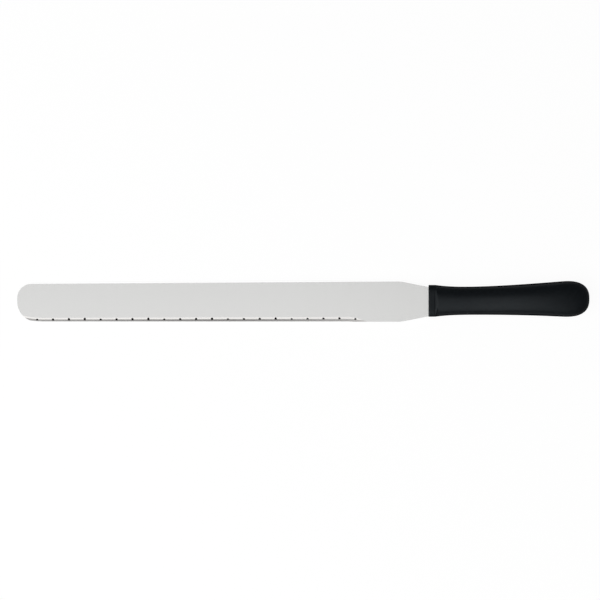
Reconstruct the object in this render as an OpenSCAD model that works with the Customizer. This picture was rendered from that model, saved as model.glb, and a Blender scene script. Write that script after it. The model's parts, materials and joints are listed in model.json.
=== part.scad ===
// Pastry knife: a long round-tipped blade ground on one side, with small
// notches along its edge, and a moulded handle closed round the blade's tang.
//
// The knife is drawn in its own frame first: x = 0 is the handle's front face,
// the blade runs towards -X, the cutting edge is on the -Y side and the ground
// side faces +Z. The module lie_down then rests it on its side on z = 0.

/* [Blade outline] */
// Length of the blade from the handle's front face to the tip
blade_length = 360; // [280:5:420]
// Width of the blade at the tip
tip_w = 33; // [31.5:0.1:36]
// Width of the blade at the heel, where it starts to narrow towards the handle
heel_w = 35.2; // [34:0.1:38]
// Distance of the unground edge line below the knife's long axis
edge_drop = 18.3; // [17:0.1:20]
// Length of the narrowing stretch between the heel and the handle
heel_length = 24; // [18:1:30]
// Radius of the tip's corner on the edge side
tip_edge_r = 17.4; // [14:0.1:18.2]
// Radius of the tip's corner on the spine side
tip_spine_r = 12.4; // [9:0.1:13.3]
// Radius that softens the two corners of the heel
heel_corner_r = 35; // [10:1:50]
// Thickness of the ground blade
blade_t = 1.6; // [1.4:0.1:2]
// Distance of the blade's spine side inside the handle's outline, at the handle
spine_step = 1.8; // [0.3:0.1:2.4]
// Distance of the blade's edge side inside the handle's outline, at the handle
edge_step = 0.4; // [0.1:0.1:2]

/* [Ground edge] */
// Depth that grinding takes off the edge line
hone_depth = 0.3; // [0.1:0.1:0.6]
// Width of the upper facet, next to the blade's face
upper_facet_w = 1.6; // [1:0.1:3]
// Slope of the upper facet in degrees
upper_facet_angle = 12; // [8:0.5:14]
// Width of the lower facet, which carries the cutting edge
lower_facet_w = 1.9; // [1.5:0.1:3]
// Thickness left at the cutting edge
edge_land = 0.12; // [0.08:0.02:0.3]
// Distance from the tip at which both facets start to leave the edge
tip_sweep_start = 24; // [18:1:30]
// Radius in which they leave it
tip_sweep_r = 95; // [80:5:130]
// Distance from the handle at which the facets start to run out
run_out_start = 71.4; // [62:0.1:90]
// Radius in which the upper facet runs out at the heel
upper_run_out_r = 32; // [25:1:40]
// Radius in which the lower facet runs out at the heel
lower_run_out_r = 53; // [45:1:60]

/* [Notches] */
// Number of notches along the edge
notch_count = 21; // [15:1:21]
// Distance from one notch to the next
notch_pitch = 13.93; // [10:0.01:14]
// Distance from the tip to the first notch
first_notch = 17.4; // [17:0.1:22]
// Width of a notch
notch_w = 1.75; // [1:0.05:2]
// Distance from the cutting edge to the foot of the first notch
notch_foot = 0.65; // [0.4:0.05:0.9]
// Distance from the cutting edge to the top of the lowest notch
low_notch_h = 2.1; // [1.7:0.05:2.3]
// Extra height of each next notch within a group
notch_rise = 0.24; // [0:0.02:0.3]
// Distance that the last notch stands higher than the first, apart from that
notch_climb = 0.7; // [0:0.05:0.8]
// Number of notches in a group that rises from low to high
notch_group = 4; // [1:1:5]
// Depth of a notch at the top of its arch
notch_top_depth = 0.45; // [0.3:0.05:0.5]
// Radius of the wheel that cuts the notches
notch_wheel_r = 2.5; // [2:0.5:6]

/* [Tang] */
// Length of the tang inside the handle
tang_length = 98; // [80:1:105]
// Width of the tang at the handle's front face
tang_root_w = 18; // [14:0.5:20]
// Width of the tang at its end
tang_end_w = 12; // [10:0.5:14]
// Thickness of the tang, left as the sheet was rolled
tang_t = 2; // [1.8:0.1:2.4]
// Number of round holes through the tang
tang_holes = 3; // [1:1:3]
// Diameter of each hole
tang_hole_d = 5.5; // [4:0.5:6.5]
// Distance from the handle's front face to the first hole
first_hole = 22; // [18:1:26]
// Distance from one hole to the next
hole_pitch = 28; // [20:1:30]
// Gap between the tang and the plastic moulded round it
moulding_gap = 0.05; // [0.02:0.01:0.1]

/* [Handle] */
// Length of the handle
handle_length = 140.4; // [130:0.2:155]
// Height of the handle's flat-sided collar
collar_h = 27.8; // [26:0.1:30]
// Thickness of the collar at the front face
collar_t = 13.8; // [13.2:0.1:14.4]
// Thickness of the collar at its back edge, where it drops into the crease
lip_t = 13.1; // [12.8:0.1:13.2]
// Thickness in the crease between the collar and the grip
crease_t = 12.6; // [12:0.1:12.7]
// Distance from the handle's front face to the collar's back edge
lip_x = 5.2; // [4:0.1:5.4]
// Distance from the front face to the crease
crease_x = 5.8; // [5.7:0.1:8]
// Radius that softens the rim of the handle's front face
front_rim_r = 0.3; // [0.3:0.1:1]
// Length in which the grip rises behind the crease
shoulder_run = 2.2; // [1:0.1:4]
// Length in which the collar's squarish section turns into the grip's oval
oval_run = 4; // [3:0.5:12]
// Distance from the front face to the waist of the grip
waist_x = 36; // [28:1:44]
// Height of the grip at its waist
waist_h = 24.6; // [22:0.1:26]
// Thickness of the grip at its waist
waist_t = 14.4; // [14:0.1:16]
// Distance from the front face to the highest place of the swell
swell_x = 120; // [110:1:122]
// Height of the grip at its swell
swell_h = 31.4; // [28:0.1:33]
// Distance from the front face to the thickest place of the swell
thickest_x = 93; // [86:1:100]
// Thickness of the grip there
swell_t = 18.4; // [17:0.1:21]
// Width of the flat band along the middle of the grip's two broad sides
cheek_w = 8; // [4:0.5:10]
// Distance that the butt lies off the long axis, towards the spine
butt_offset = 1.8; // [0:0.1:3]
// Length over which the butt rounds off, seen from the side
butt_length = 24.6; // [20:0.2:30]

/* [Hidden] */
$fn = 96;

// Power of the superellipse that is the collar's section, and of the grip's
collar_power = 5;
grip_power = 2.35;
// Powers of the waist's fall, of the swell's rise and of the butt's outlines
waist_fall_power = 2.6;
swell_rise_power = 1.65;
butt_power = 2.5;
butt_t_power = 2.3;
// Steps in each quarter of a ring of the handle's skin. A quarter holds both its
// ends or leaves the last to the next one, and the flat band parts two of them.
quarter_steps = 10;
ring_points = 4 * quarter_steps + 2;
// Reach of the cutting shapes beyond what they cut, along and across it
reach = 4;
clear_z = 1;
// Height by which an arc stands proud of the sides that it joins
tangent_ease = 0.01;

edge_y = -edge_drop + hone_depth;
spine_tip_y = tip_w - edge_drop;
spine_heel_y = heel_w - edge_drop;
shoulder_top_y = collar_h / 2 - spine_step;
shoulder_low_y = -collar_h / 2 + edge_step;
tip_corner_r = min(tip_edge_r, tip_w - tip_spine_r);

bevel_w = upper_facet_w + lower_facet_w;
facet_break_z = blade_t - upper_facet_w * tan(upper_facet_angle);
lower_facet_slope = (facet_break_z - edge_land) / lower_facet_w;
bevel_start_x = -blade_length + tip_sweep_start;
bevel_end_x = -run_out_start;
// Angles that the ground facets' curved ends sweep, and their overlap
tip_sweep_angle = 40;
run_out_angle = 60;
overlap_angle = 10;

// Places along the handle at which its skin has a ring
rim_steps = 3;
shoulder_steps = 6;
fall_steps = 9;
rise_steps = 9;
taper_steps = 4;
butt_steps = 12;
butt_x = handle_length - butt_length;
ring_places = concat(
    [for (i = [0 : rim_steps]) front_rim_r * (1 - cos(90 * i / rim_steps))],
    [lip_x],
    [for (i = [0 : shoulder_steps]) crease_x + shoulder_run * i / shoulder_steps],
    [for (i = [1 : fall_steps]) between(crease_x + shoulder_run, waist_x, i / fall_steps)],
    [for (i = [1 : rise_steps]) between(waist_x, thickest_x, i / rise_steps)],
    [for (i = [1 : taper_steps]) between(thickest_x, butt_x, i / taper_steps)],
    [for (i = [1 : butt_steps - 1]) butt_x + butt_length * sin(90 * i / butt_steps)]
);

// Lean at which the tip and the thickest part of the grip both touch the table
lean = max([for (x = ring_places) atan((half_t(x) - blade_t / 2) / (x + blade_length))]);
top_y = max([for (x = ring_places) mid_y(x) + half_h(x)]);

function between(a, b, share) = a + (b - a) * share;
function clamped(v) = max(0, min(1, v));
function eased(v) = clamped(v) * clamped(v) * (3 - 2 * clamped(v));
function unit(v) = v / norm(v);

// Sizes of the handle's section at a distance x from its front face
function rim_inset(x) =
    x >= front_rim_r ? 0 : front_rim_r - sqrt(front_rim_r^2 - (front_rim_r - x)^2);
function fall(x) = pow(1 - clamped((x - crease_x) / (waist_x - crease_x)), waist_fall_power);
function rise(x) = pow(max(0, (x - waist_x) / (swell_x - waist_x)), swell_rise_power);
function rounding(x, length, power) =
    pow(1 - pow(clamped((x - handle_length + length) / length), power), 1 / power);
function half_h(x) =
    (waist_h + (collar_h - waist_h) * fall(x) + (swell_h - waist_h) * rise(x)) / 2
    * rounding(x, butt_length, butt_power) - rim_inset(x);
function shoulder(x) =
    let (share = clamped((x - crease_x) / shoulder_run)) (share + eased(share)) / 2;
function neck_t(x) =
    x < lip_x ? between(collar_t, lip_t, x / lip_x)
    : x < crease_x ? between(lip_t, crease_t, (x - lip_x) / (crease_x - lip_x))
    : between(crease_t, waist_t, shoulder(x));
function half_t(x) =
    (neck_t(x) + (swell_t - waist_t) * eased((x - waist_x) / (thickest_x - waist_x))) / 2
    * rounding(x, handle_length - thickest_x, butt_t_power) - rim_inset(x);
function half_cheek(x) = cheek_w / 2 * rounding(x, butt_length, butt_power);
function mid_y(x) = butt_offset * eased((x - waist_x) / (handle_length - waist_x));
function section_power(x) = between(collar_power, grip_power, eased((x - crease_x) / oval_run));

// One ring of the skin in the plane x: a superellipse parted by the flat band
function ring(x) = [
    for (q = [0 : 3])
        let (side_y = q == 0 || q == 3 ? 1 : -1, side_z = q < 2 ? 1 : -1)
        for (i = [0 : quarter_steps - q % 2])
            let (turn = 90 * (q % 2 == 0 ? i : quarter_steps - i) / quarter_steps,
                 power = 2 / section_power(x),
                 round_y = (half_h(x) - half_cheek(x)) * pow(cos(turn), power))
            [x,
             mid_y(x) + side_y * (half_cheek(x) + round_y),
             side_z * half_t(x) * pow(sin(turn), power)]
];

// The piece outside a rounded corner at p, between its neighbours a and b. The
// arc stands tangent_ease proud of both sides, so that it crosses them cleanly.
module corner_waste(p, a, b, r) {
    to_a = unit(a - p);
    to_b = unit(b - p);
    half_angle = acos(to_a * to_b) / 2;
    centre = p + unit(to_a + to_b) * r / sin(half_angle);
    touch_a = p + to_a * r / tan(half_angle);
    touch_b = p + to_b * r / tan(half_angle);
    difference() {
        polygon([
            centre,
            touch_a + unit(touch_a - centre) * reach,
            p + unit(p - centre) * reach / sin(half_angle),
            touch_b + unit(touch_b - centre) * reach
        ]);
        translate(centre) circle(r = r + tangent_ease);
    }
}

module blade_outline() {
    spine_tip = [-blade_length, spine_tip_y];
    spine_heel = [-heel_length, spine_heel_y];
    shoulder_top = [0, shoulder_top_y];
    shoulder_low = [0, shoulder_low_y];
    edge_heel = [-heel_length, -edge_drop];
    edge_tip = [-blade_length, -edge_drop];
    difference() {
        polygon([spine_tip, spine_heel, shoulder_top, shoulder_low, edge_heel, edge_tip]);
        corner_waste(spine_tip, edge_tip, spine_heel, tip_spine_r);
        corner_waste(edge_tip, spine_tip, edge_heel, tip_corner_r);
        corner_waste(spine_heel, spine_tip, shoulder_top, heel_corner_r);
        corner_waste(edge_heel, edge_tip, shoulder_low, heel_corner_r);
    }
}

// The tang seen from the side, drawn larger by grow for the space that it fills
module tang_outline(grow) {
    difference() {
        polygon([
            [0, -tang_root_w / 2 - grow],
            [tang_length + grow, -tang_end_w / 2 - grow],
            [tang_length + grow, tang_end_w / 2 + grow],
            [0, tang_root_w / 2 + grow]
        ]);
        for (i = [0 : tang_holes - 1])
            translate([first_hole + i * hole_pitch, 0]) circle(d = tang_hole_d - 2 * grow);
    }
}

module tang(grow) {
    translate([0, 0, -tang_t / 2 - grow]) linear_extrude(tang_t + 2 * grow) tang_outline(grow);
}

// What grinding removes, as [distance from the edge, height above the back]
function upper_waste() =
    let (slope = tan(upper_facet_angle), top_z = blade_t + clear_z)
    [[-reach, blade_t - (bevel_w + reach) * slope],
     [bevel_w + (top_z - blade_t) / slope, top_z],
     [-reach, top_z]];
function lower_waste() =
    let (top_z = blade_t + clear_z)
    [[-reach, -clear_z], [0, -clear_z], [0, edge_land],
     [(top_z - edge_land) / lower_facet_slope, top_z],
     [-reach, top_z]];

// One facet's waste along the straight edge, round the tip and out at the heel.
// The two curved stretches cross the straight one at tangent_ease from it.
module ground_away(waste, run_out_r) {
    start_x = bevel_start_x - reach;
    tip_r = tip_sweep_r + tangent_ease;
    heel_r = run_out_r + tangent_ease;
    translate([start_x, edge_y, -blade_t / 2]) rotate([90, 0, 90])
        linear_extrude(bevel_end_x - start_x) polygon(waste);
    translate([bevel_start_x, edge_y + tip_sweep_r, -blade_t / 2])
        rotate([0, 0, 270 - tip_sweep_angle]) rotate_extrude(angle = tip_sweep_angle)
            polygon([for (p = waste) [tip_r - p[0], p[1]]]);
    translate([bevel_end_x, edge_y - run_out_r, -blade_t / 2])
        rotate([0, 0, 90 - run_out_angle]) rotate_extrude(angle = run_out_angle + overlap_angle)
            polygon([for (p = waste) [heel_r + p[0], p[1]]]);
}

// Height of the ground surface above the back at a distance from the edge
function ground_z(d) =
    d < lower_facet_w ? edge_land + d * lower_facet_slope
    : min(blade_t, blade_t - (bevel_w - d) * tan(upper_facet_angle));

// What one notch removes: an arch in plan, whose floor is the arc of a wheel that
// stands across the edge. The floor leaves the ground surface at the distance foot
// from the edge, and at the arch's top, at the distance h, it is deepest below it.
module notch_waste(foot, h) {
    low = [foot, ground_z(foot)];
    high = [h, ground_z(h) - notch_top_depth];
    half = (high - low) / 2;
    centre = low + half + unit([-half[1], half[0]]) * sqrt(notch_wheel_r^2 - half * half);
    arch_r = notch_w / 2;
    intersection() {
        translate([0, centre[0], centre[1]]) rotate([0, 90, 0])
            cylinder(r = notch_wheel_r, h = 2 * notch_w, center = true);
        translate([0, 0, -reach]) linear_extrude(2 * reach) {
            translate([0, h - arch_r]) circle(r = arch_r + tangent_ease);
            translate([-arch_r, -reach]) square([notch_w, reach + h - arch_r]);
        }
    }
}

module blade() {
    color("gainsboro") difference() {
        union() {
            translate([0, 0, -blade_t / 2]) linear_extrude(blade_t) blade_outline();
            tang(0);
        }
        ground_away(upper_waste(), upper_run_out_r);
        ground_away(lower_waste(), lower_run_out_r);
        for (i = [0 : notch_count - 1])
            let (
                place = [-blade_length + first_notch + i * notch_pitch, edge_y, -blade_t / 2],
                climb = notch_climb * i / (notch_count - 1),
                top = low_notch_h + notch_rise * (i % notch_group) + climb
            )
            translate(place) notch_waste(notch_foot + climb, top);
    }
}

module handle_skin() {
    rings = [for (x = ring_places) ring(x)];
    last = len(rings) - 1;
    pole = (last + 1) * ring_points;
    points = concat([for (r = rings) for (p = r) p], [[handle_length, mid_y(handle_length), 0]]);
    sides = [
        for (j = [0 : last - 1]) for (i = [0 : ring_points - 1])
            let (k = (i + 1) % ring_points, a = j * ring_points, b = a + ring_points)
            each [[a + i, b + i, b + k], [a + i, b + k, a + k]]
    ];
    front = [[for (i = [0 : ring_points - 1]) i]];
    end = [
        for (i = [0 : ring_points - 1])
            [last * ring_points + i, pole, last * ring_points + (i + 1) % ring_points]
    ];
    polyhedron(points = points, faces = concat(front, sides, end), convexity = 4);
}

module handle() {
    color("#1b1c1e") difference() {
        handle_skin();
        tang(moulding_gap);
    }
}

// Rests the knife on its side, with the middle of its outline over the origin
module lie_down() {
    middle = [(blade_length - handle_length) / 2 * cos(lean), (edge_drop - top_y) / 2];
    lift = blade_length * sin(lean) + blade_t / 2 * cos(lean);
    translate([middle[0], middle[1], lift]) rotate([0, -lean, 0]) children();
}

lie_down() blade();
lie_down() handle();
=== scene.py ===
"""Pastry knife: a long round-tipped blade, ground on one side and notched along
its edge, in a moulded black handle. It lies on its side on a white board.

Lengths in the classes are millimetres in the knife's own frame: x = 0 is the
handle's front face, the blade runs towards -X, the cutting edge is on the -Y side
and the ground side faces +Z. Rest turns that frame into the row frame, in metres.
"""

import json
import logging
import math
from bisect import bisect_right
from dataclasses import dataclass, field
from enum import Enum
from typing import Any, Callable, Iterable, Sequence

import bmesh
import bpy
from mathutils import Matrix, Vector

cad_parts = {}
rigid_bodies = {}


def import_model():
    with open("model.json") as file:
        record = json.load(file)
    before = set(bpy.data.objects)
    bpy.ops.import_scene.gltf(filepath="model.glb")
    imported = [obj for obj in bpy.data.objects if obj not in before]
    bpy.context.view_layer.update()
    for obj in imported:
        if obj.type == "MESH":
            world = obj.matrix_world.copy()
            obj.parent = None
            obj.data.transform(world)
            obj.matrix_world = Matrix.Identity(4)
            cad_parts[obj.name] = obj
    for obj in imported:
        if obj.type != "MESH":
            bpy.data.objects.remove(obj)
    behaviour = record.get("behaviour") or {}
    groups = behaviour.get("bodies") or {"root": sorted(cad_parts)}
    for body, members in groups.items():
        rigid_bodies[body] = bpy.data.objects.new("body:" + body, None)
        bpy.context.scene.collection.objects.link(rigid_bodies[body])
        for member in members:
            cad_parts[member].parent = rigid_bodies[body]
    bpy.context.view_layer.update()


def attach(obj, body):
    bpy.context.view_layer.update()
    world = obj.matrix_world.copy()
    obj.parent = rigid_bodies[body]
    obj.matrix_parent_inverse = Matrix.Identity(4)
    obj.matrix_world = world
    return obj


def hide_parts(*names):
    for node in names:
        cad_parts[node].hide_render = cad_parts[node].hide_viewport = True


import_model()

LOG = logging.getLogger("pastry_knife")
MM = 0.001

Point = tuple[float, float]
Strip = list[bmesh.types.BMVert]
Profile = Callable[[float], float]

# Nearly all values of a noise texture lie between these two
NOISE_LOW = 0.3
NOISE_HIGH = 0.7

# This many halvings find a place to the last digit
HALVINGS = 40

# Angles in degrees from which an edge of the piece shows as a crease
BLADE_CREASE = 8.0
HANDLE_CREASE = 25.0

# The knife's own UV map: first axis along the knife, and this many millimetres to a unit
GRAIN_MAP = "grain"
GRAIN_MAP_MM = 100


class Cut(Enum):
    """What stays of a solid that another one cuts."""

    OUTSIDE = "DIFFERENCE"
    INSIDE = "INTERSECT"


def clamped(value: float) -> float:
    """Returns value held between 0 and 1."""
    return max(0.0, min(1.0, value))


def eased(value: float) -> float:
    """Returns value held between 0 and 1, with a soft start and end."""
    share = clamped(value)
    return share * share * (3 - 2 * share)


def between(low: float, high: float, share: float) -> float:
    """Returns the number that lies at share of the way from low to high."""
    return low + (high - low) * share


def spread(low: float, high: float, steps: int) -> list[float]:
    """Returns steps + 1 numbers at equal distances from low to high."""
    return [between(low, high, i / steps) for i in range(steps + 1)]


def linear(hex_colour: str) -> tuple[float, float, float, float]:
    """Turns an sRGB colour into the linear one that a shader takes, by sRGB's own curve.

    Args:
        hex_colour: the colour as "#rrggbb".

    Returns:
        Linear red, green, blue and an alpha of 1.
    """
    parts = [int(hex_colour[i : i + 2], 16) / 255 for i in (1, 3, 5)]
    red, green, blue = (c / 12.92 if c <= 0.04045 else ((c + 0.055) / 1.055) ** 2.4 for c in parts)
    return red, green, blue, 1.0


def add_node(tree: bpy.types.NodeTree, kind: str, inputs: dict | None = None, **settings: Any) -> Any:
    """Adds one node to a tree.

    A mix node's sockets go by number, because their names repeat: 0 is the share, 2
    and 3 are values, 6 and 7 are colours, and its results are 0 and 2. So do those
    of a maths node, which all have one name.

    Args:
        tree: the shader or geometry tree.
        kind: the node's type name.
        inputs: for each input, by name or number, a value or the output that feeds it.
        settings: the node's own properties.

    Returns:
        The new node.
    """
    made = tree.nodes.new(kind)
    for name, value in settings.items():
        setattr(made, name, value)
    for key, value in (inputs or {}).items():
        if isinstance(value, bpy.types.NodeSocket):
            tree.links.new(value, made.inputs[key])
        else:
            made.inputs[key].default_value = value
    return made


def emptied(owner: bpy.types.Material | bpy.types.World) -> bpy.types.NodeTree:
    """Gives a new material or world a node tree with nothing in it.

    Args:
        owner: the material or world.

    Returns:
        Its empty tree.
    """
    owner.use_nodes = True
    owner.node_tree.nodes.clear()
    return owner.node_tree


# Meshes


class Shell:
    """Collects points and faces of a closed solid, and joins points that coincide."""

    # Points that round to the same 0.00001 mm are one vertex
    STEPS_PER_MM = 1e5

    def __init__(self) -> None:
        """Starts an empty shell."""
        self.work = bmesh.new()
        self.known: dict[tuple[int, ...], bmesh.types.BMVert] = {}

    def point(self, x: float, y: float, z: float) -> bmesh.types.BMVert:
        """Gives the vertex at a place, the same one each time that it is asked for.

        Args:
            x: place along the knife.
            y: place across it.
            z: height.

        Returns:
            The vertex.
        """
        key = tuple(round(v * self.STEPS_PER_MM) for v in (x, y, z))
        if key not in self.known:
            self.known[key] = self.work.verts.new((x, y, z))
        return self.known[key]

    def face(self, corners: Iterable[bmesh.types.BMVert], material: int = 0) -> None:
        """Adds a face, unless its corners coincide so far that it has no area.

        Args:
            corners: the vertices in order.
            material: the face's material slot.
        """
        kept: list[bmesh.types.BMVert] = []
        for corner in corners:
            if not kept or corner != kept[-1]:
                kept.append(corner)
        if len(kept) > 1 and kept[0] == kept[-1]:
            kept.pop()
        if len(kept) > 2:
            self.work.faces.new(kept).material_index = material

    def mesh(self, name: str) -> bpy.types.Mesh:
        """Turns all faces outwards and ends the shell.

        Args:
            name: the mesh's name.

        Returns:
            The finished mesh.
        """
        bmesh.ops.recalc_face_normals(self.work, faces=self.work.faces)
        mesh = bpy.data.meshes.new(name)
        self.work.to_mesh(mesh)
        self.work.free()
        return mesh


def prism(name: str, outline: Sequence[Point], low: float, high: float) -> bpy.types.Mesh:
    """Builds a straight solid on an outline.

    Args:
        name: the mesh's name.
        outline: the corners in the plane z = 0.
        low: height of its lower end.
        high: height of its upper end.

    Returns:
        The closed mesh.
    """
    shell = Shell()
    lower = [shell.point(x, y, low) for x, y in outline]
    upper = [shell.point(x, y, high) for x, y in outline]
    shell.face(lower)
    shell.face(upper)
    for i in range(len(outline)):
        shell.face([lower[i - 1], lower[i], upper[i], upper[i - 1]])
    return shell.mesh(name)


def circle(x: float, y: float, radius: float, steps: int) -> list[Point]:
    """Returns steps points round a circle about (x, y)."""
    turns = [math.tau * i / steps for i in range(steps)]
    return [(x + radius * math.cos(t), y + radius * math.sin(t)) for t in turns]


def applied(mesh: bpy.types.Mesh, modify: Callable[[bpy.types.Object], None]) -> bpy.types.Mesh:
    """Runs modifiers on a mesh and returns the plain mesh that they give.

    Args:
        mesh: the mesh to start from, which is used up.
        modify: adds the modifiers to the object that it is given.

    Returns:
        The evaluated mesh, with no modifier left.
    """
    holder = bpy.data.objects.new("holder", mesh)
    bpy.context.scene.collection.objects.link(holder)
    modify(holder)
    bpy.context.view_layer.update()
    graph = bpy.context.evaluated_depsgraph_get()
    result = bpy.data.meshes.new_from_object(holder.evaluated_get(graph), depsgraph=graph)
    bpy.data.objects.remove(holder)
    bpy.data.meshes.remove(mesh)
    return result


def booleaned(body: bpy.types.Mesh, tool: bpy.types.Mesh, cut: Cut) -> bpy.types.Mesh:
    """Cuts one solid with another.

    Args:
        body: the first solid, which is used up.
        tool: the second solid, which is used up.
        cut: what stays of the first solid.

    Returns:
        The new solid.
    """
    tool_holder = bpy.data.objects.new("tool", tool)
    bpy.context.scene.collection.objects.link(tool_holder)

    def modify(holder: bpy.types.Object) -> None:
        """Adds the boolean modifier.

        Args:
            holder: the object that holds the first solid.
        """
        boolean = holder.modifiers.new("cut", "BOOLEAN")
        boolean.object = tool_holder
        boolean.operation = cut.value
        boolean.solver = "EXACT"

    result = applied(body, modify)
    bpy.data.objects.remove(tool_holder)
    bpy.data.meshes.remove(tool)
    return result


# Finishes


@dataclass(frozen=True)
class GroundSteel:
    """Stainless knife steel as a belt that runs across the blade leaves it.

    To the eye it is a pale grey metal that blurs what it reflects, with fine
    straight lines of grain, and its glare is drawn out across those lines.
    """

    name: str
    colour: str
    streak_colour: str
    roughness: float
    roughness_range: float
    grain_mm: float
    grain_length_mm: float
    relief_mm: float
    glare_stretch: float
    grains_in_band: float = 6.0

    def material(self) -> bpy.types.Material:
        """Builds the node material.

        Returns:
            The material.
        """
        made = bpy.data.materials.new(self.name)
        tree = emptied(made)
        place = add_node(tree, "ShaderNodeTexCoord").outputs["Object"]
        across = 1 / (self.grain_mm * MM)
        along = 1 / (self.grain_length_mm * MM)
        lines = add_node(
            tree, "ShaderNodeMapping", {"Vector": place, "Scale": (across, along, across)}
        ).outputs["Vector"]
        grain = add_node(
            tree,
            "ShaderNodeTexNoise",
            {"Vector": lines, "Scale": 1.0, "Detail": 3.0, "Roughness": 0.6},
        ).outputs["Fac"]
        # The belt leaves faint broad bands too, which count as much as the grain
        bands = add_node(
            tree,
            "ShaderNodeTexNoise",
            {"Vector": lines, "Scale": 1 / self.grains_in_band, "Detail": 1.0},
        ).outputs["Fac"]
        both = add_node(
            tree, "ShaderNodeMix", {0: 0.5, 2: grain, 3: bands}, data_type="FLOAT"
        ).outputs[0]
        colour = add_node(
            tree,
            "ShaderNodeMix",
            {0: both, 6: linear(self.streak_colour), 7: linear(self.colour)},
            data_type="RGBA",
        ).outputs[2]
        roughness = add_node(
            tree,
            "ShaderNodeMapRange",
            {
                "Value": both,
                "From Min": NOISE_LOW,
                "From Max": NOISE_HIGH,
                "To Min": self.roughness - self.roughness_range,
                "To Max": self.roughness + self.roughness_range,
            },
        ).outputs["Result"]
        bump = add_node(
            tree,
            "ShaderNodeBump",
            {"Height": grain, "Strength": 0.35, "Distance": self.relief_mm * MM},
        ).outputs["Normal"]
        tangent = add_node(tree, "ShaderNodeTangent", direction_type="UV_MAP", uv_map=GRAIN_MAP)
        shader = add_node(
            tree,
            "ShaderNodeBsdfPrincipled",
            {
                "Base Color": colour,
                "Metallic": 1.0,
                "Roughness": roughness,
                "Normal": bump,
                "Anisotropic": self.glare_stretch,
                "Tangent": tangent.outputs["Tangent"],
            },
        )
        add_node(tree, "ShaderNodeOutputMaterial", {"Surface": shader.outputs["BSDF"]})
        return made


@dataclass(frozen=True)
class PaintedShadeSteel:
    """Steel painted nearly black and matt, with faint random flecks: painted shade that stands for
    the shade deep in the notches' steep walls.
    """

    name: str
    colour: str
    bright_colour: str
    roughness: float
    fleck_mm: float

    def material(self) -> bpy.types.Material:
        """Builds the node material.

        Returns:
            The material.
        """
        made = bpy.data.materials.new(self.name)
        tree = emptied(made)
        place = add_node(tree, "ShaderNodeTexCoord").outputs["Object"]
        flecks = add_node(
            tree,
            "ShaderNodeTexNoise",
            {"Vector": place, "Scale": 1 / (self.fleck_mm * MM), "Detail": 2.0},
        ).outputs["Fac"]
        colour = add_node(
            tree,
            "ShaderNodeMix",
            {0: flecks, 6: linear(self.colour), 7: linear(self.bright_colour)},
            data_type="RGBA",
        ).outputs[2]
        shader = add_node(
            tree,
            "ShaderNodeBsdfPrincipled",
            {"Base Color": colour, "Roughness": self.roughness, "Specular IOR Level": 0.0},
        )
        add_node(tree, "ShaderNodeOutputMaterial", {"Surface": shader.outputs["BSDF"]})
        return made


@dataclass(frozen=True)
class MouldedPlastic:
    """Polypropylene moulded against a finely spark-eroded tool.

    To the eye it is a deep black with a broad dull sheen, faintly mottled where
    the grain of the tool was copied more or less sharply.
    """

    name: str
    colour: str
    worn_colour: str
    sheen_colour: str
    roughness: float
    roughness_range: float
    sheen_level: float
    grain_mm: float
    relief_mm: float
    mottle_mm: float
    sheen_full: float = 0.1
    sheen_gone: float = 0.5

    def material(self) -> bpy.types.Material:
        """Builds the node material.

        Returns:
            The material.
        """
        made = bpy.data.materials.new(self.name)
        tree = emptied(made)
        place = add_node(tree, "ShaderNodeTexCoord").outputs["Object"]
        grain = add_node(
            tree,
            "ShaderNodeTexNoise",
            {"Vector": place, "Scale": 1 / (self.grain_mm * MM), "Detail": 3.0, "Roughness": 0.6},
        ).outputs["Fac"]
        mottle = add_node(
            tree,
            "ShaderNodeTexNoise",
            {"Vector": place, "Scale": 1 / (self.mottle_mm * MM), "Detail": 2.0},
        ).outputs["Fac"]
        colour = add_node(
            tree,
            "ShaderNodeMix",
            {0: mottle, 6: linear(self.colour), 7: linear(self.worn_colour)},
            data_type="RGBA",
        ).outputs[2]
        roughness = add_node(
            tree,
            "ShaderNodeMapRange",
            {
                "Value": mottle,
                "From Min": NOISE_LOW,
                "From Max": NOISE_HIGH,
                "To Min": self.roughness - self.roughness_range,
                "To Max": self.roughness + self.roughness_range,
            },
        ).outputs["Result"]
        bump = add_node(
            tree,
            "ShaderNodeBump",
            {"Height": grain, "Strength": 0.5, "Distance": self.relief_mm * MM},
        ).outputs["Normal"]
        # The pits of the grain hide its smooth tops from a low view. Facing is 0 where
        # the skin is seen square on and 1 where it is seen edge on.
        facing = add_node(tree, "ShaderNodeLayerWeight").outputs["Facing"]
        sheen = add_node(
            tree,
            "ShaderNodeMapRange",
            {
                "Value": facing,
                "From Min": self.sheen_full,
                "From Max": self.sheen_gone,
                "To Min": self.sheen_level,
                "To Max": 0.0,
            },
        ).outputs["Result"]
        shader = add_node(
            tree,
            "ShaderNodeBsdfPrincipled",
            {
                "Base Color": colour,
                "Roughness": roughness,
                "Specular IOR Level": sheen,
                "Specular Tint": linear(self.sheen_colour),
                "Normal": bump,
            },
        )
        add_node(tree, "ShaderNodeOutputMaterial", {"Surface": shader.outputs["BSDF"]})
        return made


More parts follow.
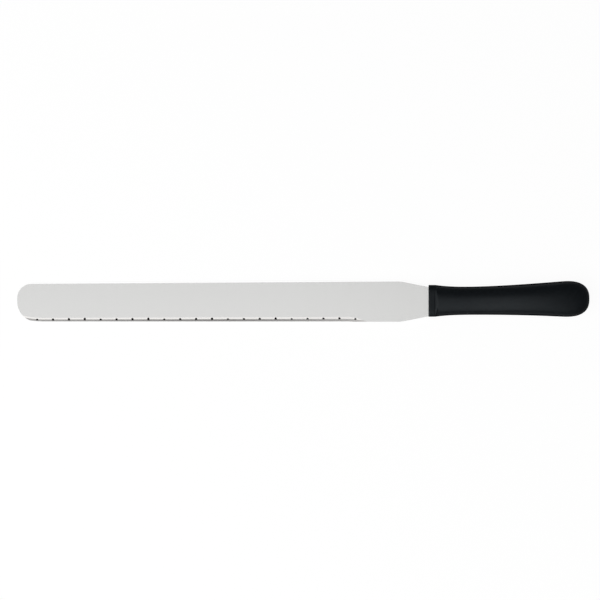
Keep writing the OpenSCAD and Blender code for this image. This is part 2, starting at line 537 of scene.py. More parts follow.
@dataclass(frozen=True)
class WhiteBoard:
    """Matt white board: plain white to the eye, with the knife's soft shadow on it.

    The camera and what mirrors the board see mostly an even glow, with a small
    share of the board's own shading, which is where the shadow comes from.
    """

    name: str
    colour: str
    evenness: float
    glow: float

    def material(self) -> bpy.types.Material:
        """Builds the node material.

        Returns:
            The material.
        """
        made = bpy.data.materials.new(self.name)
        tree = emptied(made)
        board = add_node(tree, "ShaderNodeBsdfDiffuse", {"Color": linear(self.colour)})
        white = add_node(tree, "ShaderNodeEmission", {"Strength": self.glow})
        rays = add_node(tree, "ShaderNodeLightPath")
        seen = add_node(
            tree,
            "ShaderNodeMath",
            {0: rays.outputs["Is Camera Ray"], 1: rays.outputs["Is Glossy Ray"]},
            operation="MAXIMUM",
        ).outputs[0]
        seen = add_node(
            tree,
            "ShaderNodeMath",
            {0: seen, 1: rays.outputs["Is Transmission Ray"]},
            operation="MAXIMUM",
        ).outputs[0]
        share = add_node(
            tree, "ShaderNodeMath", {0: seen, 1: self.evenness}, operation="MULTIPLY"
        ).outputs[0]
        shader = add_node(
            tree,
            "ShaderNodeMixShader",
            {0: share, 1: board.outputs["BSDF"], 2: white.outputs["Emission"]},
        )
        add_node(tree, "ShaderNodeOutputMaterial", {"Surface": shader.outputs["Shader"]})
        return made


# The flats, as a satin belt leaves them: an even pale grey with hardly visible lines.
# The grain is really about 0.05 mm wide. It is drawn four times as coarse, which is
# still finer than the picture's dots, so that near views show it as lines.
BLADE_FACE = GroundSteel(
    name="satin_ground_stainless_steel",
    colour="#dadad9",
    streak_colour="#d8d8d7",
    roughness=0.2,
    roughness_range=0.015,
    grain_mm=0.2,
    grain_length_mm=14,
    relief_mm=0.002,
    glare_stretch=0.2,
)
# The facets, ground last with a finer belt. Their steel is painted paler than the flats': a painted
# highlight, added to the glare they really catch from the lamps, so that they show as a pale line.
# Their grain is drawn coarser than it is, as on the flats.
PAINTED_HIGHLIGHT_FACET = GroundSteel(
    name="fine_ground_steel_painted_highlight",
    colour="#edebe9",
    streak_colour="#e6e4e2",
    roughness=0.24,
    roughness_range=0.03,
    grain_mm=0.12,
    grain_length_mm=3,
    relief_mm=0.003,
    glare_stretch=0.3,
)
# The notches: painted shade, a black that stands for the shade in their deep walls, so that they show
# as black dots
NOTCH_PAINTED_SHADE = PaintedShadeSteel(
    name="notch_painted_shade_steel",
    colour="#030303",
    bright_colour="#0a0908",
    roughness=1.0,
    fleck_mm=0.3,
)
# The grip: black with a faint blue in its sheen
HANDLE_SKIN = MouldedPlastic(
    name="moulded_black_polypropylene",
    colour="#070a0e",
    worn_colour="#0f141a",
    sheen_colour="#f0faff",
    roughness=0.38,
    roughness_range=0.06,
    sheen_level=0.41,
    grain_mm=0.5,
    relief_mm=0.03,
    mottle_mm=2.5,
)
# The board: as white as paper
FLOOR_BOARD = WhiteBoard(name="matt_white_board", colour="#f2f2f2", evenness=0.88, glow=1.075)


# The knife


def rounded_line(corners: Sequence[Point], radii: Sequence[float], steps: int) -> list[Point]:
    """Rounds the inner corners of a line that always runs on towards +X.

    Args:
        corners: the line's corners, its two ends included.
        radii: a radius for each corner between the ends.
        steps: points along each quarter turn of an arc.

    Returns:
        The points of the rounded line.
    """
    line = [Vector(corners[0])]
    for before, corner, after, radius in zip(corners, corners[1:], corners[2:], radii):
        here = Vector(corner)
        back = (Vector(before) - here).normalized()
        on = (Vector(after) - here).normalized()
        half = back.angle(on) / 2
        centre = here + (back + on).normalized() * radius / math.sin(half)
        start = here + back * radius / math.tan(half) - centre
        sweep = (math.pi - 2 * half) * (-1 if back.cross(on) > 0 else 1)
        count = max(2, round(steps * abs(sweep) / (math.pi / 2)))
        for i in range(count + 1):
            line.append(centre + Matrix.Rotation(sweep * i / count, 2) @ start)
    line.append(Vector(corners[-1]))
    return [(p.x, p.y) for p in line]


def profile_of(line: Sequence[Point]) -> Profile:
    """Makes y a function of x along a line.

    Args:
        line: the line's points, whose x never falls back.

    Returns:
        The function, which keeps the end's y past either end.
    """
    places = [x for x, _ in line]

    def height(x: float) -> float:
        """Finds y at a place.

        Args:
            x: place along the line.

        Returns:
            The line's y there.
        """
        i = min(max(bisect_right(places, x), 1), len(line) - 1)
        (x0, y0), (x1, y1) = line[i - 1], line[i]
        return y1 if x1 <= x0 else between(y0, y1, clamped((x - x0) / (x1 - x0)))

    return height


@dataclass(frozen=True)
class GroundEdge:
    """The two facets that grinding leaves on one side, and where they run out.

    Starts and ends at the tip are distances from it, and those at the heel from the
    handle's front face. The widths are means, which grow from tip_share of
    themselves at the tip to heel_share.
    """

    hone_depth: float = 0.3
    upper_w: float = 1.6
    upper_angle: float = 12.0
    lower_w: float = 1.9
    land: float = 0.12
    tip_sweep_start: float = 24.0
    tip_sweep_r: float = 95.0
    run_out_start: float = 71.4
    run_out_end: float = 50.0
    upper_run_out_r: float = 32.0
    lower_run_out_r: float = 53.0
    tip_share: float = 0.88
    heel_share: float = 1.13

    def upper_z(self, distance: float, thickness: float) -> float:
        """Returns the upper facet's height above the back at a distance from the edge."""
        rise = math.tan(math.radians(self.upper_angle))
        return thickness - (self.upper_w + self.lower_w - distance) * rise

    def lower_z(self, distance: float, thickness: float) -> float:
        """Returns the lower facet's height above the back at a distance from the edge."""
        break_z = self.upper_z(self.lower_w, thickness)
        return self.land + distance * (break_z - self.land) / self.lower_w


@dataclass(frozen=True)
class NotchRow:
    """Small notches ground into the facets, in groups that rise from low to high.

    Each one is arched at its top, deepest near there, and ends at its foot, a
    little above the cutting edge.
    """

    count: int = 21
    pitch: float = 13.93
    first: float = 17.4
    width: float = 1.95
    foot: float = 0.9
    low_height: float = 2.4
    rise: float = 0.24
    climb: float = 0.6
    group: int = 4
    top_depth: float = 0.55
    wheel_r: float = 2.5
    arch_steps: int = 24
    wheel_steps: int = 96

    def cutter(self, height: float, surface: Profile, back_z: float) -> bpy.types.Mesh:
        """Builds what one notch removes: an arch whose floor is the arc of a wheel.

        Args:
            height: the notch's height above the cutting edge.
            surface: the ground surface's height above the back, by the distance
                from the cutting edge.
            back_z: height of the blade's back.

        Returns:
            The cutter, with the cutting edge on its X axis.
        """
        # The column starts outside the edge and passes both sides of the blade
        reach = 3.0
        foot = Vector((self.foot, surface(self.foot)))
        top = Vector((height, surface(height) - self.top_depth))
        half = (top - foot) / 2
        out = Vector((-half.y, half.x)).normalized()
        centre = foot + half + out * math.sqrt(self.wheel_r**2 - half.length_squared)
        disc = circle(0, 0, self.wheel_r, self.wheel_steps)
        wheel = prism("wheel", disc, -self.width, self.width)
        wheel.transform(
            Matrix.Translation((0, centre.x, back_z + centre.y))
            @ Matrix.Rotation(math.pi / 2, 4, "Y")
        )
        arch_r = self.width / 2
        arc = [math.pi * i / self.arch_steps for i in range(self.arch_steps + 1)]
        arch = [(arch_r * math.cos(a), height - arch_r + arch_r * math.sin(a)) for a in arc]
        outline = [(arch_r, -reach), *arch, (-arch_r, -reach)]
        column = prism("arch", outline, back_z - reach, back_z + reach)
        return booleaned(column, wheel, Cut.INSIDE)


@dataclass
class CutterRow:
    """A Geometry Nodes tree that cuts a row of equal steps into a solid."""

    name: str
    tree: bpy.types.GeometryNodeTree = field(init=False)

    def __post_init__(self) -> None:
        """Builds the tree, once for all its uses."""
        self.tree = bpy.data.node_groups.new(self.name, "GeometryNodeTree")
        face = self.tree.interface
        for name, kind in (
            ("Body", "NodeSocketGeometry"),
            ("Cutters", "NodeSocketCollection"),
            ("Count", "NodeSocketInt"),
            ("Group", "NodeSocketInt"),
            ("First", "NodeSocketVector"),
            ("Step", "NodeSocketVector"),
            ("Wall", "NodeSocketMaterial"),
        ):
            face.new_socket(name, in_out="INPUT", socket_type=kind)
        face.new_socket("Solid", in_out="OUTPUT", socket_type="NodeSocketGeometry")
        tree = self.tree
        given = add_node(tree, "NodeGroupInput").outputs
        places = add_node(
            tree,
            "GeometryNodeMeshLine",
            {"Count": given["Count"], "Start Location": given["First"], "Offset": given["Step"]},
            mode="OFFSET",
            count_mode="TOTAL",
        )
        cutters = add_node(
            tree,
            "GeometryNodeCollectionInfo",
            {"Collection": given["Cutters"], "Separate Children": True, "Reset Children": True},
        )
        number = add_node(tree, "GeometryNodeInputIndex")
        turn = add_node(
            tree,
            "ShaderNodeMath",
            {0: number.outputs["Index"], 1: given["Group"]},
            operation="FLOORED_MODULO",
        )
        row = add_node(
            tree,
            "GeometryNodeInstanceOnPoints",
            {
                "Points": places.outputs["Mesh"],
                "Instance": cutters.outputs["Instances"],
                "Pick Instance": True,
                "Instance Index": turn.outputs[0],
            },
        )
        tools = add_node(
            tree, "GeometryNodeRealizeInstances", {"Geometry": row.outputs["Instances"]}
        )
        tools = add_node(
            tree,
            "GeometryNodeSetMaterial",
            {"Geometry": tools.outputs["Geometry"], "Material": given["Wall"]},
        )
        cut = add_node(
            tree,
            "GeometryNodeMeshBoolean",
            {"Mesh 1": given["Body"], "Mesh 2": tools.outputs["Geometry"]},
            operation="DIFFERENCE",
            solver="EXACT",
        )
        whole = add_node(
            tree, "GeometryNodeRealizeInstances", {"Geometry": cut.outputs["Mesh"]}
        )
        walls = add_node(tree, "GeometryNodeMaterialSelection", {"Material": given["Wall"]})
        done = add_node(
            tree,
            "GeometryNodeSetMaterial",
            {
                "Geometry": whole.outputs["Geometry"],
                "Selection": walls.outputs["Selection"],
                "Material": given["Wall"],
            },
        )
        add_node(tree, "NodeGroupOutput", {"Solid": done.outputs["Geometry"]})

    def cut(
        self,
        body: bpy.types.Mesh,
        cutters: Sequence[bpy.types.Mesh],
        count: int,
        first: tuple[float, float, float],
        step: tuple[float, float, float],
        wall: bpy.types.Material,
    ) -> bpy.types.Mesh:
        """Cuts a row into a solid.

        Args:
            body: the solid, which is used up.
            cutters: what the notches of one group remove, in order, used up too.
            count: number of cuts.
            first: place of the first cut.
            step: way from one cut to the next.
            wall: material of the cut walls.

        Returns:
            The cut solid as a plain mesh.
        """
        box = bpy.data.collections.new("cutters")
        bpy.context.scene.collection.children.link(box)
        for i, cutter in enumerate(cutters):
            box.objects.link(bpy.data.objects.new(f"cutter_{i}", cutter))

        def modify(holder: bpy.types.Object) -> None:
            """Adds the tree with its sizes.

            Args:
                holder: the object that holds the solid.
            """
            modifier = holder.modifiers.new(self.name, "NODES")
            modifier.node_group = self.tree
            sizes = {
                "Cutters": box,
                "Count": count,
                "Group": len(cutters),
                "First": first,
                "Step": step,
                "Wall": wall,
            }
            for item in self.tree.interface.items_tree:
                if item.in_out == "INPUT" and item.name in sizes:
                    modifier[item.identifier] = sizes[item.name]

        result = applied(body, modify)
        for holder in list(box.objects):
            bpy.data.objects.remove(holder)
        bpy.data.collections.remove(box)
        for cutter in cutters:
            bpy.data.meshes.remove(cutter)
        return result


@dataclass
class Tang:
    """The flat bar inside the handle, as the sheet was rolled."""

    length: float = 98.0
    root_w: float = 18.0
    end_w: float = 12.0
    thickness: float = 2.0
    holes: int = 3
    hole_d: float = 5.5
    first_hole: float = 22.0
    hole_pitch: float = 28.0
    hole_steps: int = 48

    def pierced(
        self, row: CutterRow, bar: bpy.types.Mesh, gap: float, wall: bpy.types.Material
    ) -> bpy.types.Mesh:
        """Cuts the round holes through the bar.

        Args:
            row: the tree that cuts rows.
            bar: the solid to cut, which is used up.
            gap: distance by which the holes are made smaller all round.
            wall: material of the holes' walls.

        Returns:
            The pierced solid.
        """
        outline = circle(0, 0, self.hole_d / 2 - gap, self.hole_steps)
        hole = prism("hole", outline, -self.thickness, self.thickness)
        first, step = (self.first_hole, 0.0, 0.0), (self.hole_pitch, 0.0, 0.0)
        return row.cut(bar, [hole], self.holes, first, step, wall)

    def space(self, row: CutterRow, gap: float, wall: bpy.types.Material) -> bpy.types.Mesh:
        """Builds the space that the tang takes up in what is moulded round it.

        Args:
            row: the tree that cuts rows.
            gap: distance between the tang and the moulding.
            wall: material of the space's walls.

        Returns:
            The closed mesh, which starts a little in front of the handle.
        """
        root, end, tip = self.root_w / 2 + gap, self.end_w / 2 + gap, self.length + gap
        # The tang narrows evenly, so in front of the handle its sides run on
        front = -1.0
        wide = root + (root - end) * -front / self.length
        outline = [(front, -wide), (tip, -end), (tip, end), (front, wide)]
        half_t = self.thickness / 2 + gap
        bar = prism("space", outline, -half_t, half_t)
        bar.materials.append(wall)
        return self.pierced(row, bar, gap, wall)


@dataclass
class Blade:
    """The blade with its tang: one flat piece of steel."""

    length: float = 360.0
    tip_w: float = 33.0
    heel_w: float = 35.2
    edge_drop: float = 18.3
    heel_length: float = 24.0
    tip_edge_r: float = 17.4
    tip_spine_r: float = 12.4
    heel_corner_r: float = 35.0
    thickness: float = 1.6
    root_top: float = 12.1
    root_low: float = -13.5
    corner_break: float = 0.15
    rim_fade: float = 0.4
    ground: GroundEdge = field(default_factory=GroundEdge)
    notches: NotchRow = field(default_factory=NotchRow)
    tang: Tang = field(default_factory=Tang)
    arc_steps: int = 240
    tip_steps: int = 36
    sweep_steps: int = 4
    run_out_steps: int = 36
    plain_x: float = -40.0
    heel_bend: tuple[float, float] = (-28.0, -20.0)
    heel_bend_steps: int = 16

    @property
    def edge_y(self) -> float:
        """The cutting edge's line along the straight part."""
        return -self.edge_drop + self.ground.hone_depth

    @property
    def sweep_x(self) -> float:
        """Where the facets start to sweep round the tip."""
        return -self.length + self.ground.tip_sweep_start

    @property
    def run_out_x(self) -> float:
        """Where the facets start to run out at the heel."""
        return -self.ground.run_out_start

    def from_edge(self, x: float, y: float, run_out_r: float) -> float:
        """Measures how far a point lies from the cutting edge's line.

        Args:
            x: place along the knife.
            y: place across it.
            run_out_r: radius in which the facet leaves the edge at the heel.

        Returns:
            The distance, below zero outside the edge.
        """
        if x < self.sweep_x:
            sweep_r = self.ground.tip_sweep_r
            return sweep_r - math.hypot(x - self.sweep_x, y - self.edge_y - sweep_r)
        if x > self.run_out_x:
            return math.hypot(x - self.run_out_x, y - self.edge_y + run_out_r) - run_out_r
        return y - self.edge_y

    def widening(self, x: float) -> float:
        """Returns how wide the facets are at x, as a share of their mean width."""
        run = clamped((x - self.sweep_x) / (self.run_out_x - self.sweep_x))
        return between(self.ground.tip_share, self.ground.heel_share, run)

    def lower_z(self, x: float, y: float) -> float:
        """Returns the lower facet's height above the back."""
        distance = self.from_edge(x, y, self.ground.lower_run_out_r) / self.widening(x)
        return self.ground.lower_z(distance, self.thickness)

    def upper_z(self, x: float, y: float) -> float:
        """Returns the upper facet's height above the back."""
        distance = self.from_edge(x, y, self.ground.upper_run_out_r) / self.widening(x)
        return self.ground.upper_z(distance, self.thickness)

    def top_z(self, x: float, y: float) -> float:
        """Returns the ground side's height above the back."""
        return min(self.thickness, self.lower_z(x, y), self.upper_z(x, y))

    def places(self) -> list[float]:
        """Chooses where along the blade its mesh has a row of points.

        Returns:
            The places in order: round the tip, halfway between the notches, on the
            run-out, at plain_x behind it, round the heel's corner and at the handle.
        """
        nose_r = self.tip_edge_r
        turns = spread(0, math.pi / 2, self.tip_steps)
        tip = [-self.length + nose_r * (1 - math.cos(t)) for t in turns]
        tip += spread(tip[-1], self.sweep_x, self.sweep_steps)
        row = self.notches
        middle = -self.length + row.first + row.pitch / 2
        straight = [middle + i * row.pitch for i in range(row.count - 1)]
        run_out = spread(self.run_out_x, -self.ground.run_out_end, self.run_out_steps)
        heel = [self.plain_x, *spread(*self.heel_bend, self.heel_bend_steps), 0.0]
        # Rounded, so that places which coincide are one
        return sorted({round(x, 4) for x in [*tip, *straight, *run_out, *heel]})

    def columns(self) -> list[tuple[float, list[float]]]:
        """Finds the lines across the blade that carry its mesh.

        Returns:
            For each place along the blade, the edge, the facets' break, the end of
            the facets and the spine, as distances across the blade.
        """
        top_y, low_y = self.tip_w - self.edge_drop, -self.edge_drop
        heel_x, heel_y = -self.heel_length, self.heel_w - self.edge_drop
        nose = (-self.length, low_y + self.tip_edge_r)
        spine = profile_of(
            rounded_line(
                [nose, (-self.length, top_y), (heel_x, heel_y), (0, self.root_top)],
                [self.tip_spine_r, self.heel_corner_r],
                self.arc_steps,
            )
        )
        edge = profile_of(
            rounded_line(
                [(-self.length, top_y), (-self.length, low_y), (heel_x, low_y), (0, self.root_low)],
                [self.tip_edge_r, self.heel_corner_r],
                self.arc_steps,
            )
        )

        def first_y(low: float, high: float, test: Callable[[float], bool]) -> float:
            """Finds the lowest y at which a test holds, by halving.

            Args:
                low: where the search starts.
                high: a place above it at which the test holds.
                test: fails below some y and holds above it.

            Returns:
                The y, or low where the test holds from the start.
            """
            if test(low):
                return low
            for _ in range(HALVINGS):
                middle = (low + high) / 2
                low, high = (low, middle) if test(middle) else (middle, high)
            return high

        full, run_out_r = self.thickness, self.ground.lower_run_out_r
        found = []
        for x in self.places():
            high = spine(x)
            low = first_y(edge(x), high, lambda y: self.from_edge(x, y, run_out_r) >= 0)
            crease = first_y(
                low, high, lambda y: self.lower_z(x, y) >= min(full, self.upper_z(x, y))
            )
            face = first_y(crease, high, lambda y: self.upper_z(x, y) >= full)
            found.append((x, [low, crease, face, high]))
        return found

    def rim(self, shell: Shell, top: Sequence[Strip], back: Sequence[Strip]) -> None:
        """Marks the corners that are broken along the spine, the tip and the heel.

        Args:
            shell: the blade's shell, with all its faces.
            top: the points across the ground side, for each place along it.
            back: the points across the flat back.
        """
        weight = shell.work.edges.layers.float.new("bevel_weight_edge")
        pairs = [(top[0][0], top[0][-1]), (back[0][0], back[0][-1])]
        shares = [1.0, 1.0]
        full = self.thickness / 2
        for here, on, under, under_on in zip(top, top[1:], back, back[1:]):
            # The edge's side is broken only where it isn't ground thin
            ground = min(clamped(1 - (full - v.co.z) / self.rim_fade) for v in (here[0], on[0]))
            pairs += [(here[-1], on[-1]), (under[-1], under_on[-1])]
            pairs += [(here[0], on[0]), (under[0], under_on[0])]
            shares += [1.0, 1.0, ground, ground]
        for pair, share in zip(pairs, shares):
            found = shell.work.edges.get(pair)
            if found is not None:
                found[weight] = share

    def bar(self, face: bpy.types.Material, facet: bpy.types.Material) -> bpy.types.Mesh:
        """Builds the ground blade and its tang, without notches and holes.

        Args:
            face: material of the flat sides.
            facet: material of the ground facets.

        Returns:
            The closed mesh.
        """
        half_t = self.thickness / 2
        shell = Shell()
        top: list[Strip] = []
        back: list[Strip] = []
        for x, (low, crease, flat, high) in self.columns():
            ground = [shell.point(x, y, self.top_z(x, y) - half_t) for y in (low, crease, flat)]
            top.append([*ground, shell.point(x, high, half_t)])
            back.append([shell.point(x, low, -half_t), shell.point(x, high, -half_t)])
        tang = self.tang
        root, end, rolled = tang.root_w / 2, tang.end_w / 2, tang.thickness / 2
        # Where the blade's sides meet the thicker tang, at the handle's front face
        seam = [[shell.point(0, y, side * half_t) for y in (root, -root)] for side in (1, -1)]
        step = [[shell.point(0, y, side * rolled) for y in (root, -root)] for side in (1, -1)]
        tip = [[shell.point(tang.length, y, side * rolled) for y in (end, -end)] for side in (1, -1)]
        for i in range(len(top) - 1):
            here, on, under, under_on = top[i], top[i + 1], back[i], back[i + 1]
            joint = [list(reversed(s)) for s in seam] if on is top[-1] else [[], []]
            shell.face([here[0], here[1], on[1], on[0]], 1)
            shell.face([here[1], here[2], on[2], on[1]], 1)
            shell.face([here[3], here[2], on[2], *joint[0], on[3]])
            shell.face([under[1], under[0], under_on[0], *joint[1], under_on[1]])
            shell.face([here[3], under[1], under_on[1], on[3]])
            shell.face([here[0], on[0], under_on[0], under[0]])
        shell.face([back[0][0], *top[0], back[0][1]])
        shell.face([top[-1][3], seam[0][0], seam[1][0], back[-1][1]])
        shell.face([seam[0][1], top[-1][0], back[-1][0], seam[1][1]])
        for side in (0, 1):
            shell.face([seam[side][0], seam[side][1], step[side][1], step[side][0]])
            shell.face([step[side][0], step[side][1], tip[side][1], tip[side][0]])
            wall = [step[0][side], seam[0][side], seam[1][side], step[1][side]]
            shell.face([*wall, tip[1][side], tip[0][side]])
        shell.face([tip[0][0], tip[0][1], tip[1][1], tip[1][0]])
        self.rim(shell, top, back)
        mesh = shell.mesh("bar")
        mesh.materials.append(face)
        mesh.materials.append(facet)

        def modify(holder: bpy.types.Object) -> None:
            """Breaks the marked corners.

            Args:
                holder: the object that holds the blade.
            """
            bevel = holder.modifiers.new("broken corners", "BEVEL")
            bevel.limit_method = "WEIGHT"
            bevel.width = self.corner_break
            bevel.segments = 2
            bevel.use_clamp_overlap = True

        return applied(mesh, modify)

    def mesh(self, row: CutterRow) -> bpy.types.Mesh:
        """Builds the whole blade with its tang, the tang's holes and the notches.

        Args:
            row: the tree that cuts rows.

        Returns:
            The closed mesh in the knife's own frame.
        """
        # The facets' steel is painted paler than the flats': a painted highlight
        face, facet = BLADE_FACE.material(), PAINTED_HIGHLIGHT_FACET.material()
        notches = self.notches
        start_x = -self.length + notches.first
        last_x = start_x + (notches.count - 1) * notches.pitch
        start_foot = self.edge_y + notches.foot
        # The row climbs with its feet on the lower facet
        rise = self.top_z(last_x, start_foot + notches.climb) - self.top_z(start_x, start_foot)
        climb = Vector((0, notches.climb, rise)) / (notches.count - 1)
        step = (notches.pitch, climb.y, climb.z)
        cutters = [
            notches.cutter(
                notches.low_height + notches.rise * i,
                lambda distance: self.top_z(start_x, self.edge_y + distance),
                -self.thickness / 2,
            )
            for i in range(notches.group)
        ]
        first = (start_x, self.edge_y, 0.0)
        solid = self.tang.pierced(row, self.bar(face, facet), 0.0, face)
        # The notch walls get the steel painted black as painted shade
        return row.cut(solid, cutters, notches.count, first, step, NOTCH_PAINTED_SHADE.material())


@dataclass
class Handle:
    """The moulded grip: a flat-sided collar that swells into an oval.

    Places along it are distances from its front face. Heights run from edge to
    spine and thicknesses from side to side, as on the blade.
    """

    length: float = 140.4
    collar_h: float = 27.8
    collar_t: float = 13.8
    lip_t: float = 13.1
    crease_t: float = 12.6
    lip_x: float = 5.2
    crease_x: float = 5.8
    front_rim_r: float = 0.3
    shoulder_run: float = 2.2
    oval_run: float = 2.2
    waist_x: float = 36.0
    waist_h: float = 24.6
    waist_t: float = 14.4
    swell_x: float = 120.0
    swell_h: float = 31.4
    thickest_x: float = 93.0
    swell_t: float = 18.4
    bend_x: float = 20.0
    butt_offset: float = 1.8
    butt_length: float = 24.6
    collar_power: float = 5.0
    grip_power: float = 2.35
    waist_fall_power: float = 2.6
    swell_rise_power: float = 1.65
    butt_power: float = 2.5
    butt_side_power: float = 2.3
    moulding_gap: float = 0.05
    ring_steps: int = 88
    rim_rings: int = 5
    collar_rings: int = 3
    lip_margin: float = 0.4
    shoulder_rings: int = 14
    neck_rings: int = 27
    swell_rings: int = 27
    belly_rings: int = 12
    butt_rings: int = 36

    def rim_inset(self, x: float) -> float:
        """Measures how far the front rim's rounding draws the skin in.

        Args:
            x: place along the handle.

        Returns:
            The distance, 0 behind the rim.
        """
        if x >= self.front_rim_r:
            return 0.0
        return self.front_rim_r - math.sqrt(self.front_rim_r**2 - (self.front_rim_r - x) ** 2)

    def rise(self, x: float) -> float:
        """Returns the swell's share at x, 0 up to the waist."""
        share = max(0.0, (x - self.waist_x) / (self.swell_x - self.waist_x))
        return share**self.swell_rise_power

    def rounding(self, x: float, length: float, power: float) -> float:
        """Returns the share of its size that the section keeps on the butt.

        Args:
            x: place along the handle.
            length: length over which the butt rounds off.
            power: power of its outline.

        Returns:
            1 before the butt, 0 at its end.
        """
        share = clamped((x - self.length + length) / length)
        return (1 - share**power) ** (1 / power)

    def half_h(self, x: float) -> float:
        """Measures the section from its middle towards the spine.

        Args:
            x: place along the handle.

        Returns:
            Half the section's height.
        """
        past = clamped((x - self.crease_x) / (self.waist_x - self.crease_x))
        fall = (1 - past) ** self.waist_fall_power
        size = self.waist_h + (self.collar_h - self.waist_h) * fall
        size += (self.swell_h - self.waist_h) * self.rise(x)
        return size / 2 * self.rounding(x, self.butt_length, self.butt_power) - self.rim_inset(x)

    def neck_t(self, x: float) -> float:
        """Measures the neck, from the front face to the waist.

        Args:
            x: place along the handle.

        Returns:
            The section's thickness, which stays the waist's behind it.
        """
        if x < self.lip_x:
            return between(self.collar_t, self.lip_t, x / self.lip_x)
        if x < self.crease_x:
            dip = (x - self.lip_x) / (self.crease_x - self.lip_x)
            return between(self.lip_t, self.crease_t, dip)
        share = clamped((x - self.crease_x) / self.shoulder_run)
        return between(self.crease_t, self.waist_t, (share + eased(share)) / 2)

    def half_t(self, x: float) -> float:
        """Measures the section from its middle towards a side.

        Args:
            x: place along the handle.

        Returns:
            Half the section's thickness.
        """
        swell = eased((x - self.waist_x) / (self.thickest_x - self.waist_x))
        size = self.neck_t(x) + (self.swell_t - self.waist_t) * swell
        round_off = self.rounding(x, self.length - self.thickest_x, self.butt_side_power)
        return size / 2 * round_off - self.rim_inset(x)

    def mid_y(self, x: float) -> float:
        """Returns how far the section's middle lies towards the spine."""
        return self.butt_offset * eased((x - self.bend_x) / (self.length - self.bend_x))

    def section_power(self, x: float) -> float:
        """Returns the power of the superellipse that is the section."""
        share = eased((x - self.crease_x) / self.oval_run)
        return between(self.collar_power, self.grip_power, share)

    def places(self) -> list[float]:
        """Chooses where along the handle its skin has a ring.

        Returns:
            The places in order, the butt's end left out.
        """
        behind = self.crease_x + self.shoulder_run
        butt_x = self.length - self.butt_length
        quarter = math.pi / 2
        rim = [self.front_rim_r * (1 - math.cos(t)) for t in spread(0, quarter, self.rim_rings)]
        butt = [
            butt_x + self.butt_length * math.sin(t) for t in spread(0, quarter, self.butt_rings)
        ]
        return [
            *rim,
            *spread(self.front_rim_r, self.lip_x - self.lip_margin, self.collar_rings)[1:],
            self.lip_x,
            self.crease_x,
            *spread(self.crease_x, behind, self.shoulder_rings)[1:],
            *spread(behind, self.waist_x, self.neck_rings)[1:],
            *spread(self.waist_x, self.thickest_x, self.swell_rings)[1:],
            *spread(self.thickest_x, butt_x, self.belly_rings)[1:],
            *butt[1:-1],
        ]

    def ring(self, x: float) -> list[tuple[float, float, float]]:
        """Draws the skin's section, a superellipse.

        The solid has a flat band along the middle of both broad sides, on which
        it rests in the checks. Here the section is crowned there as well.

        Args:
            x: place along the handle.

        Returns:
            The skin's points in the plane x, in order.
        """
        power = 2 / self.section_power(x)
        turns = [math.tau * i / self.ring_steps for i in range(self.ring_steps)]

        def bent(share: float) -> float:
            """Returns a sine or cosine bent to the superellipse."""
            return math.copysign(abs(share) ** power, share)

        middle, half_h, half_t = self.mid_y(x), self.half_h(x), self.half_t(x)
        return [
            (x, middle + half_h * bent(math.cos(t)), half_t * bent(math.sin(t))) for t in turns
        ]

    def skin(self) -> bpy.types.Mesh:
        """Builds the outer skin.

        Returns:
            The closed mesh.
        """
        shell = Shell()
        rings = [[shell.point(*p) for p in self.ring(x)] for x in self.places()]
        shell.face(rings[0])
        for ring, after in zip(rings, rings[1:]):
            for i in range(len(ring)):
                shell.face([ring[i - 1], ring[i], after[i], after[i - 1]])
        pole = shell.point(self.length, self.mid_y(self.length), 0.0)
        for i in range(len(rings[-1])):
            shell.face([rings[-1][i - 1], rings[-1][i], pole])
        return shell.mesh("skin")

    def mesh(self, row: CutterRow, tang: Tang) -> bpy.types.Mesh:
        """Builds the handle with the space that the tang fills.

        Args:
            row: the tree that cuts rows.
            tang: the blade's tang.

        Returns:
            The closed mesh in the knife's own frame.
        """
        plastic = HANDLE_SKIN.material()
        skin = self.skin()
        skin.materials.append(plastic)
        return booleaned(skin, tang.space(row, self.moulding_gap, plastic), Cut.OUTSIDE)


@dataclass
class Rest:
    """How the knife lies on its side: the tip and the swell touch the floor."""

    blade: Blade
    handle: Handle

    def lean(self) -> float:
        """Finds how far the knife leans.

        Returns:
            The angle between the blade and the floor, in radians.
        """
        half, run = self.blade.thickness / 2, self.blade.length
        return max(
            math.atan((self.handle.half_t(x) - half) / (x + run)) for x in self.handle.places()
        )

    def matrix(self) -> Matrix:
        """Works out the way from the knife's own frame to the row frame.

        Returns:
            The matrix from millimetres in the one to metres in the other.
        """
        lean = self.lean()
        blade, handle = self.blade, self.handle
        top_y = max(handle.mid_y(x) + handle.half_h(x) for x in handle.places())
        middle_x = (blade.length - handle.length) / 2 * math.cos(lean)
        middle_y = (blade.edge_drop - top_y) / 2
        lift = blade.length * math.sin(lean) + blade.thickness / 2 * math.cos(lean)
        return (
            Matrix.Scale(MM, 4)
            @ Matrix.Translation((middle_x, middle_y, lift))
            @ Matrix.Rotation(-lean, 4, "Y")
        )


def finished(
    name: str, mesh: bpy.types.Mesh, rest: Rest, sharp_from: float, node: str
) -> bpy.types.Object:
    """Makes a mesh a piece of the part, at its place in the row frame.

    Args:
        name: the piece's name.
        mesh: its mesh in the knife's own frame.
        rest: how the knife lies.
        sharp_from: angle in degrees from which an edge shows as a crease.
        node: the CAD node that the piece stands for.

    Returns:
        The piece.
    """
    layer = mesh.uv_layers.new(name=GRAIN_MAP)
    for loop in mesh.loops:
        spot = mesh.vertices[loop.vertex_index].co
        layer.data[loop.index].uv = (spot.x / GRAIN_MAP_MM, spot.y / GRAIN_MAP_MM)
    mesh.transform(rest.matrix())
    mesh.polygons.foreach_set("use_smooth", [True] * len(mesh.polygons))
    mesh.set_sharp_from_angle(angle=math.radians(sharp_from))
    mesh.name = name
    piece = bpy.data.objects.new(name, mesh)
    bpy.context.scene.collection.objects.link(piece)
    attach(piece, "root")
    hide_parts(node)
    LOG.info("%s: %d faces", name, len(mesh.polygons))
    return piece


# The studio


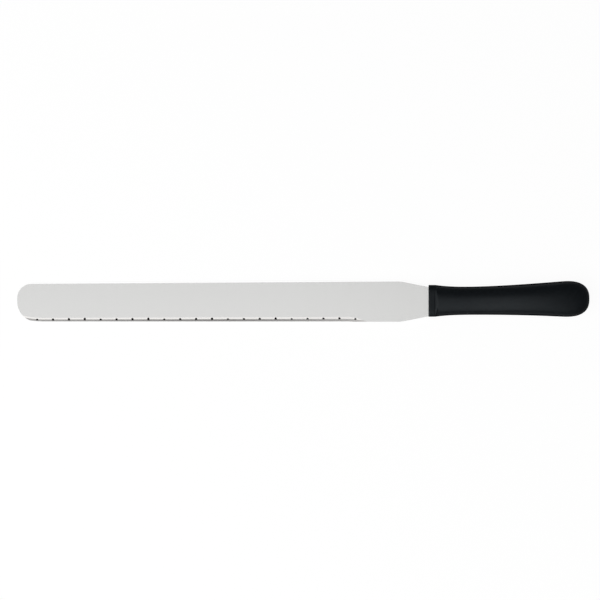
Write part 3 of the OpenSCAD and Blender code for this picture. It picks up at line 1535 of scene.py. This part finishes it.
@dataclass(frozen=True)
class SoftBox:
    """A soft lamp with a flat face of even brightness, in metres."""

    name: str
    left: float
    right: float
    near: float
    far: float
    radiance: float
    height: float = 1.5

    def light(self) -> None:
        """Hangs the lamp, facing straight down."""
        width, depth = self.right - self.left, self.far - self.near
        lamp = bpy.data.lights.new(self.name, "AREA")
        lamp.shape = "RECTANGLE"
        lamp.size = width
        lamp.size_y = depth
        # A lamp of this many watts sends out the radiance from its whole face
        lamp.energy = self.radiance * width * depth * math.pi
        holder = bpy.data.objects.new(self.name, lamp)
        holder.location = ((self.left + self.right) / 2, (self.near + self.far) / 2, self.height)
        holder.visible_camera = False
        bpy.context.scene.collection.objects.link(holder)


# The large lamp hangs over the knife, mostly on its edge side, and the handle's butt
# and spine look past its ends. The side lamp lights what leans towards the blade's
# tip, the low one the steep lower facet, and the fill what leans the other way, such
# as the butt.
OVERHEAD = SoftBox("overhead", left=-3.2, right=0.28, near=-2.2, far=0.16, radiance=0.98)
SIDE = SoftBox("side", left=-3.2, right=-0.9, near=-1.0, far=0.2, radiance=1.2)
LOW = SoftBox("low", left=-3.2, right=-0.1, near=-6.5, far=-3.0, radiance=0.4)
FILL = SoftBox("fill", left=0.5, right=1.0, near=-1.4, far=0.0, radiance=0.25)


@dataclass(frozen=True)
class Studio:
    """A white board, four soft lamps, a dim room and a camera straight above.

    The view is view_width metres wide at the height of the blade.
    """

    lamps: tuple[SoftBox, ...] = (OVERHEAD, SIDE, LOW, FILL)
    horizon: float = 0.2
    overhead: float = 0.1
    haze_top: float = 0.8
    floor_size: float = 24.0
    lens: float = 250.0
    view_width: float = 0.52464
    centre: tuple[float, float] = (-0.00262, 0.00123)
    blade_plane: float = 0.006

    def floor(self) -> None:
        """Lays the floor under the knife."""
        half = self.floor_size / 2
        mesh = bpy.data.meshes.new("floor")
        corners = [(-half, -half, 0), (half, -half, 0), (half, half, 0), (-half, half, 0)]
        mesh.from_pydata(corners, [], [(0, 1, 2, 3)])
        mesh.materials.append(FLOOR_BOARD.material())
        floor = bpy.data.objects.new("floor", mesh)
        bpy.context.scene.collection.objects.link(floor)

    def room(self) -> None:
        """Lights the room: paler near the horizon than overhead."""
        world = bpy.data.worlds.new("room")
        tree = emptied(world)
        way = add_node(tree, "ShaderNodeTexCoord").outputs["Generated"]
        height = add_node(tree, "ShaderNodeSeparateXYZ", {"Vector": way}).outputs["Z"]
        level = add_node(
            tree,
            "ShaderNodeMapRange",
            {
                "Value": height,
                "From Min": 0.0,
                "From Max": self.haze_top,
                "To Min": self.horizon,
                "To Max": self.overhead,
            },
            interpolation_type="SMOOTHSTEP",
        ).outputs["Result"]
        light = add_node(
            tree, "ShaderNodeBackground", {"Color": (1.0, 1.0, 1.0, 1.0), "Strength": level}
        )
        add_node(tree, "ShaderNodeOutputWorld", {"Surface": light.outputs["Background"]})
        bpy.context.scene.world = world

    def camera(self) -> None:
        """Sets the camera straight above the knife, as the photograph looks at it."""
        data = bpy.data.cameras.new("camera")
        data.lens = self.lens
        distance = self.view_width * self.lens / data.sensor_width
        data.clip_end = 100.0
        camera = bpy.data.objects.new("camera", data)
        camera.location = (*self.centre, self.blade_plane + distance)
        bpy.context.scene.collection.objects.link(camera)
        bpy.context.scene.camera = camera

    def build(self) -> None:
        """Sets up everything that isn't the knife."""
        self.floor()
        for lamp in self.lamps:
            lamp.light()
        self.room()
        self.camera()
        bpy.context.scene.view_settings.view_transform = "Standard"


def main() -> None:
    """Builds the knife and its studio."""
    logging.basicConfig(level=logging.INFO, format="%(name)s: %(message)s")
    row = CutterRow("row_of_cuts")
    blade, handle = Blade(), Handle()
    rest = Rest(blade, handle)
    LOG.info("lean %.5f degrees", math.degrees(rest.lean()))
    steel, plastic = blade.mesh(row), handle.mesh(row, blade.tang)
    finished("ground_blade", steel, rest, BLADE_CREASE, "blade")
    finished("moulded_handle", plastic, rest, HANDLE_CREASE, "handle")
    Studio().build()


if __name__ == "__main__":
    main()
